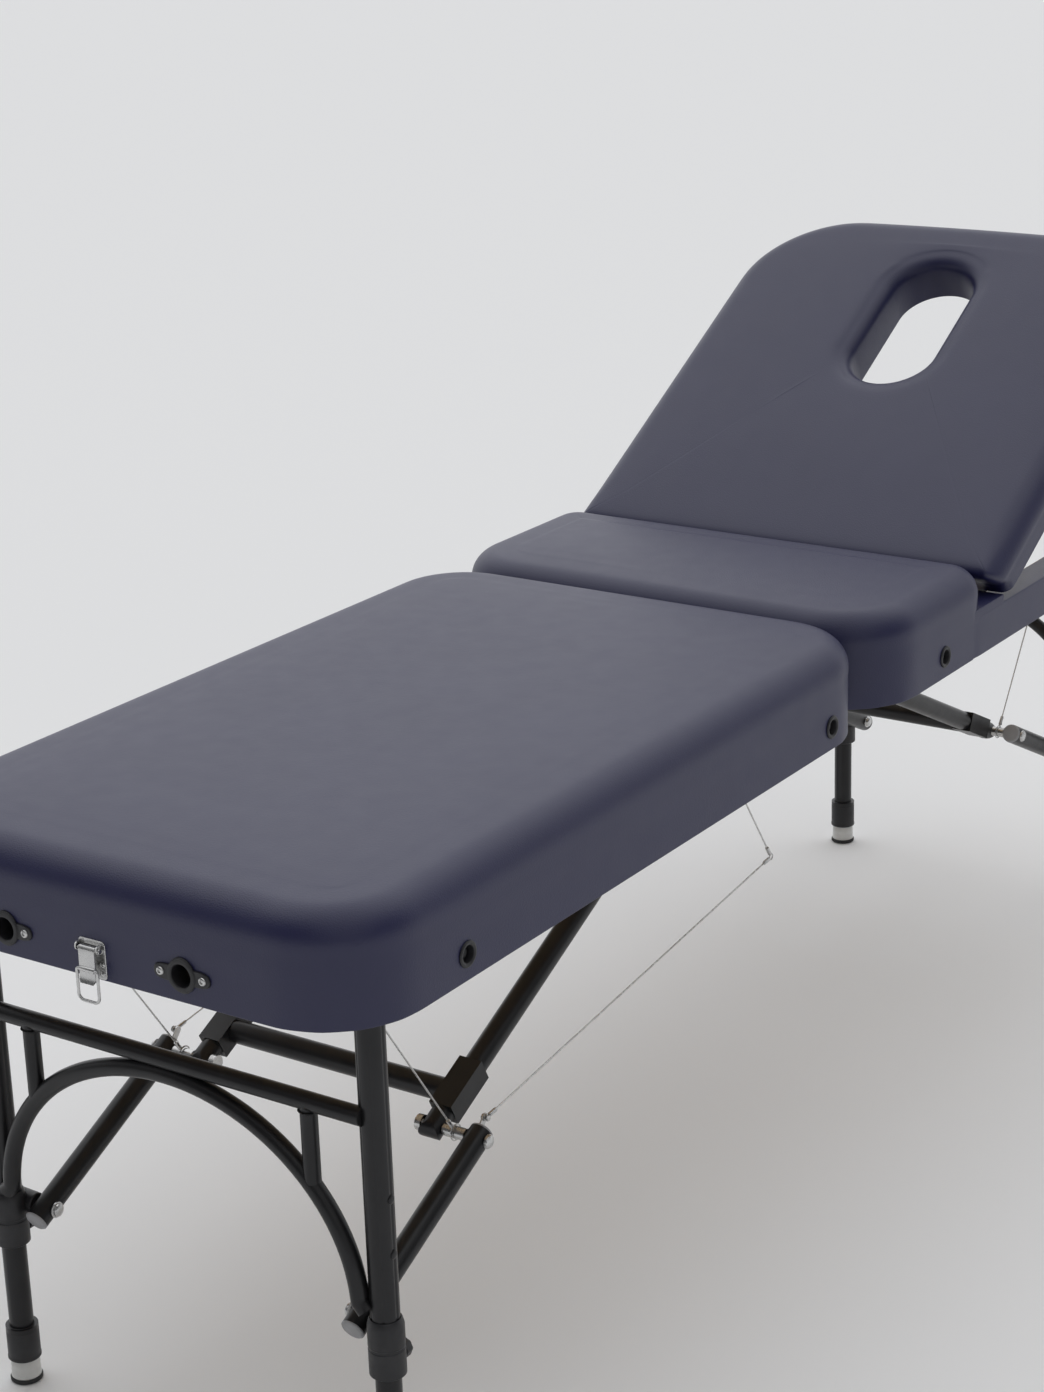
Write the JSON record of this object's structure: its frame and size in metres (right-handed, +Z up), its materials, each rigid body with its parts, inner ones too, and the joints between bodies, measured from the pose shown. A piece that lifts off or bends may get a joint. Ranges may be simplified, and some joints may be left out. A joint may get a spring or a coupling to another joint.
{
  "type": "portable massage table",
  "caption": "Folding massage table with padded vinyl top, raised backrest with oval face hole, linked folding legs and telescoping feet.",
  "frame": {"origin": "on the floor under the centre hinge, midway between the sides", "axes": "+X along the table towards the backrest end, +Y to the left, +Z up"},
  "size_m": [1.9688, 0.605, 0.9617],
  "materials": {
    "vinyl": "soft satin vinyl, fine grain",
    "foam": "open cell foam",
    "timber": "clear lacquer",
    "black_tube": "black anodised, satin",
    "bright_steel": "nickel plated",
    "black_plastic": "satin",
    "pale_rubber": "matt"
  },
  "bodies": {
    "foot_frame": {"foot_side_rails": "timber", "foot_cross_rails": "timber", "foot_deck": "timber", "foot_foam": "foam", "foot_cover": "vinyl", "foot_pivot_rods": "bright_steel", "foot_side_plugs": "black_plastic", "face_cradle_sockets": "black_plastic", "socket_screws": "bright_steel", "latch_plate": "bright_steel", "foot_centre_hinges": "bright_steel", "foot_cables": "bright_steel"},
    "head_frame": {"head_side_rails": "timber", "head_cross_rails": "timber", "head_deck": "timber", "head_foam": "foam", "head_cover": "vinyl", "head_pivot_rods": "bright_steel", "head_side_plugs": "black_plastic", "latch_keeper": "bright_steel", "head_centre_hinges": "bright_steel", "head_cables": "bright_steel", "prop_racks": "bright_steel", "backrest_hinge_bases": "bright_steel"},
    "backrest": {"backrest_board": "timber", "backrest_foam": "foam", "backrest_cover": "vinyl", "backrest_hinge_leaves": "bright_steel"},
    "backrest_prop": {"prop_arms": "bright_steel", "prop_bar": "bright_steel"},
    "latch_lever": {"latch_lever": "bright_steel"},
    "latch_bail": {"latch_bail": "bright_steel"},
    "foot_leg_frame": {"foot_outer_legs": "black_tube", "foot_cross_bar": "black_tube", "foot_arch": "black_tube", "foot_leg_brackets": "black_tube"},
    "foot_lower_links": {"foot_lower_links": "black_tube"},
    "foot_upper_links": {"foot_upper_links": "black_tube", "foot_link_cross_tube": "black_tube", "foot_knee_bolts": "bright_steel"},
    "foot_left_inner_leg": {"foot_left_inner_leg": "black_tube", "foot_left_tip": "pale_rubber"},
    "foot_left_knob": {"foot_left_knob": "black_plastic"},
    "foot_right_inner_leg": {"foot_right_inner_leg": "black_tube", "foot_right_tip": "pale_rubber"},
    "foot_right_knob": {"foot_right_knob": "black_plastic"},
    "head_leg_frame": {"head_outer_legs": "black_tube", "head_cross_bar": "black_tube", "head_arch": "black_tube", "head_leg_brackets": "black_tube"},
    "head_lower_links": {"head_lower_links": "black_tube"},
    "head_upper_links": {"head_upper_links": "black_tube", "head_link_cross_tube": "black_tube", "head_knee_bolts": "bright_steel"},
    "head_left_inner_leg": {"head_left_inner_leg": "black_tube", "head_left_tip": "pale_rubber"},
    "head_left_knob": {"head_left_knob": "black_plastic"},
    "head_right_inner_leg": {"head_right_inner_leg": "black_tube", "head_right_tip": "pale_rubber"},
    "head_right_knob": {"head_right_knob": "black_plastic"}
  },
  "joints": [
    {"name": "centre_fold", "type": "hinge", "parent": "foot_frame", "child": "head_frame", "pos_m": [0, 0, 0.545], "axis": [0, 1, 0], "range_deg": [0, 180], "deforming": ["foot_cables", "head_cables"]},
    {"name": "foot_leg_fold", "type": "hinge", "parent": "foot_frame", "child": "foot_leg_frame", "pos_m": [-0.88, 0, 0.569], "axis": [0, -1, 0], "range_deg": [0, 90]},
    {"name": "foot_upper_link_fold", "type": "hinge", "parent": "foot_frame", "child": "foot_upper_links", "pos_m": [-0.09, 0, 0.584], "axis": [0, 1, 0], "range_deg": [0, 26.05]},
    {"name": "foot_lower_link_fold", "type": "hinge", "parent": "foot_leg_frame", "child": "foot_lower_links", "pos_m": [-0.865, 0, 0.205], "axis": [0, -1, 0], "range_deg": [0, 63.9]},
    {"name": "foot_left_leg_extension", "type": "slide", "parent": "foot_leg_frame", "child": "foot_left_inner_leg", "axis": [0, 0, -1], "range_m": [0, 0.15]},
    {"name": "foot_left_knob_turn", "type": "hinge", "parent": "foot_leg_frame", "child": "foot_left_knob", "pos_m": [-0.86, 0.24, 0.176], "axis": [-1, 0, 0], "range_deg": [0, 360]},
    {"name": "foot_right_leg_extension", "type": "slide", "parent": "foot_leg_frame", "child": "foot_right_inner_leg", "axis": [0, 0, -1], "range_m": [0, 0.15]},
    {"name": "foot_right_knob_turn", "type": "hinge", "parent": "foot_leg_frame", "child": "foot_right_knob", "pos_m": [-0.86, -0.24, 0.176], "axis": [-1, 0, 0], "range_deg": [0, 360]},
    {"name": "head_leg_fold", "type": "hinge", "parent": "head_frame", "child": "head_leg_frame", "pos_m": [0.88, 0, 0.569], "axis": [0, 1, 0], "range_deg": [0, 90]},
    {"name": "head_upper_link_fold", "type": "hinge", "parent": "head_frame", "child": "head_upper_links", "pos_m": [0.09, 0, 0.584], "axis": [0, -1, 0], "range_deg": [0, 26.05]},
    {"name": "head_lower_link_fold", "type": "hinge", "parent": "head_leg_frame", "child": "head_lower_links", "pos_m": [0.865, 0, 0.205], "axis": [0, 1, 0], "range_deg": [0, 63.9]},
    {"name": "head_left_leg_extension", "type": "slide", "parent": "head_leg_frame", "child": "head_left_inner_leg", "axis": [0, 0, -1], "range_m": [0, 0.15]},
    {"name": "head_left_knob_turn", "type": "hinge", "parent": "head_leg_frame", "child": "head_left_knob", "pos_m": [0.86, 0.203, 0.176], "axis": [1, 0, 0], "range_deg": [0, 360]},
    {"name": "head_right_leg_extension", "type": "slide", "parent": "head_leg_frame", "child": "head_right_inner_leg", "axis": [0, 0, -1], "range_m": [0, 0.15]},
    {"name": "head_right_knob_turn", "type": "hinge", "parent": "head_leg_frame", "child": "head_right_knob", "pos_m": [0.86, -0.203, 0.176], "axis": [1, 0, 0], "range_deg": [0, 360]},
    {"name": "backrest_tilt", "type": "hinge", "parent": "head_frame", "child": "backrest", "pos_m": [0.34, 0, 0.611], "axis": [0, -1, 0], "range_deg": [-29.5, 30.5]},
    {"name": "prop_swing", "type": "hinge", "parent": "backrest", "child": "backrest_prop", "pos_m": [0.58337, 0, 0.72916], "axis": [0, 1, 0], "range_deg": [-59, 61]},
    {"name": "latch_lever_turn", "type": "hinge", "parent": "foot_frame", "child": "latch_lever", "pos_m": [-0.9805, 0, 0.581], "axis": [0, -1, 0], "range_deg": [-150, 0]},
    {"name": "latch_bail_swing", "type": "hinge", "parent": "latch_lever", "child": "latch_bail", "pos_m": [-0.985, 0, 0.562], "axis": [0, 1, 0], "range_deg": [0, 120]}
  ],
  "couplings": [
    {"joint": "foot_leg_fold", "follows": "centre_fold", "ratio": 0.5},
    {"joint": "foot_upper_link_fold", "follows": "centre_fold", "ratio": 0.14471},
    {"joint": "foot_lower_link_fold", "follows": "centre_fold", "ratio": 0.35503},
    {"joint": "head_leg_fold", "follows": "centre_fold", "ratio": 0.5},
    {"joint": "head_upper_link_fold", "follows": "centre_fold", "ratio": 0.14471},
    {"joint": "head_lower_link_fold", "follows": "centre_fold", "ratio": 0.35503},
    {"joint": "prop_swing", "follows": "backrest_tilt", "ratio": 2}
  ]
}
